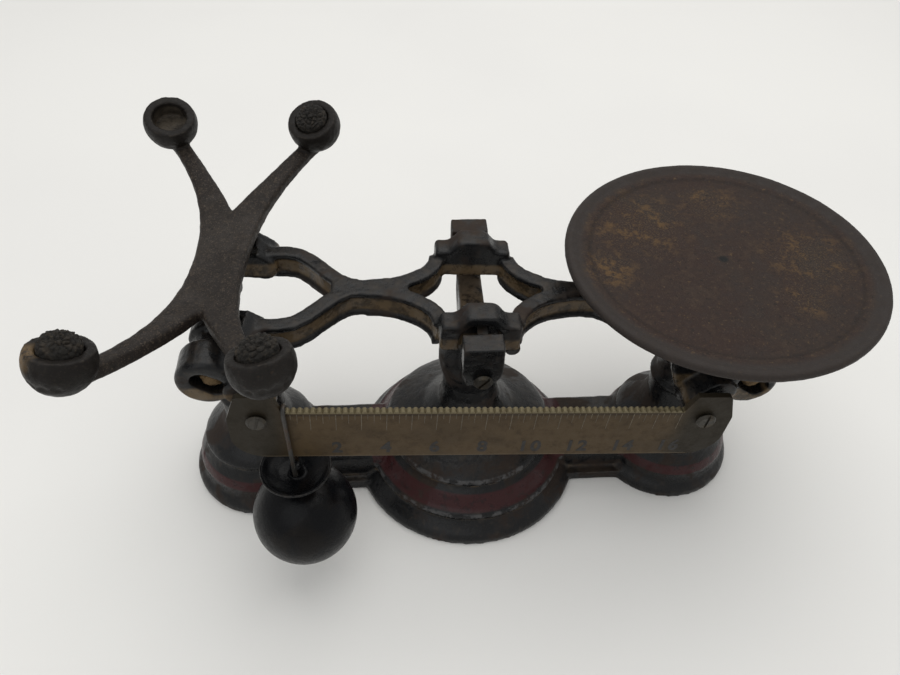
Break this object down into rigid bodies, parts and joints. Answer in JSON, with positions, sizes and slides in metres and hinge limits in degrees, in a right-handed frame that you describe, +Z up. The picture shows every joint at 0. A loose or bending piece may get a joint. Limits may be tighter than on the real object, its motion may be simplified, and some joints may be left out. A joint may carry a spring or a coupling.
{
  "type": "counter balance scale",
  "caption": "Antique cast-iron even-balance counter scale: round weight plate, four-armed goods holder, notched brass side beam and sliding ball poise.",
  "frame": {"origin": "on the bench, under the middle of the part's outline seen from above", "axes": "+X along the beam towards the weight plate, +Y to the back, away from the brass side beam, +Z up"},
  "size_m": [0.3712, 0.1926, 0.1879],
  "materials": {
    "base_iron": "worn black japan over cast iron, with dull red stripes",
    "black_iron": "black-brown, rusty and dusty in the hollows",
    "plate_iron": "dark maroon-brown with ochre rust patches",
    "old_brass": "dull olive-brown tarnish",
    "dull_steel": "dark, dull steel",
    "old_cork": "black-brown and crumbling",
    "lead_plug": "dull grey"
  },
  "bodies": {
    "base": {"base_casting": "base_iron", "front_bearing_cap": "black_iron", "rear_bearing_cap": "black_iron", "front_bearing_seat": "dull_steel", "rear_bearing_seat": "dull_steel", "front_cap_screw": "black_iron", "rear_cap_screw": "black_iron", "check_lever_pivot": "dull_steel"},
    "beam": {"main_beam": "black_iron", "front_centre_knife": "dull_steel", "rear_centre_knife": "dull_steel", "left_front_end_knife": "dull_steel", "left_rear_end_knife": "dull_steel", "right_front_end_knife": "dull_steel", "right_rear_end_knife": "dull_steel", "graduated_beam": "old_brass", "left_beam_screw": "old_brass", "right_beam_screw": "old_brass"},
    "left_hanger": {"left_pan_hanger": "black_iron", "left_front_bearing": "dull_steel", "left_rear_bearing": "dull_steel", "left_stem": "dull_steel", "spider": "black_iron", "front_left_cork": "old_cork", "front_right_cork": "old_cork", "rear_right_cork": "old_cork"},
    "right_hanger": {"right_pan_hanger": "black_iron", "right_front_bearing": "dull_steel", "right_rear_bearing": "dull_steel", "right_stem": "dull_steel", "weight_plate": "plate_iron"},
    "check_lever": {"check_lever": "black_iron", "left_check_pin": "dull_steel", "right_check_pin": "dull_steel"},
    "bail": {"poise_bail": "dull_steel"},
    "poise": {"poise": "black_iron", "poise_plug": "lead_plug"}
  },
  "joints": [
    {"name": "beam_tilt", "type": "hinge", "parent": "base", "child": "beam", "pos_m": [-0.01106, 0, 0.134], "axis": [0, -1, 0], "range_deg": [0, 6]},
    {"name": "left_hanger_swing", "type": "hinge", "parent": "beam", "child": "left_hanger", "pos_m": [-0.1309, 0, 0.14028], "axis": [0, -1, 0], "range_deg": [-6, 0]},
    {"name": "right_hanger_swing", "type": "hinge", "parent": "beam", "child": "right_hanger", "pos_m": [0.10878, 0, 0.12772], "axis": [0, -1, 0], "range_deg": [-6, 0]},
    {"name": "check_lever_tilt", "type": "hinge", "parent": "base", "child": "check_lever", "pos_m": [-0.01106, 0, 0.011], "axis": [0, -1, 0], "range_deg": [0, 6]},
    {"name": "poise_slide", "type": "slide", "parent": "beam", "child": "bail", "axis": [0.9986, 0, -0.0523], "range_m": [0, 0.1744]},
    {"name": "poise_swing", "type": "hinge", "parent": "bail", "child": "poise", "pos_m": [-0.09839, -0.0701, 0.089], "axis": [0, 1, 0], "range_deg": [-20, 20]}
  ],
  "couplings": [
    {"joint": "left_hanger_swing", "follows": "beam_tilt", "ratio": -1},
    {"joint": "right_hanger_swing", "follows": "beam_tilt", "ratio": -1},
    {"joint": "check_lever_tilt", "follows": "beam_tilt", "ratio": 1}
  ]
}
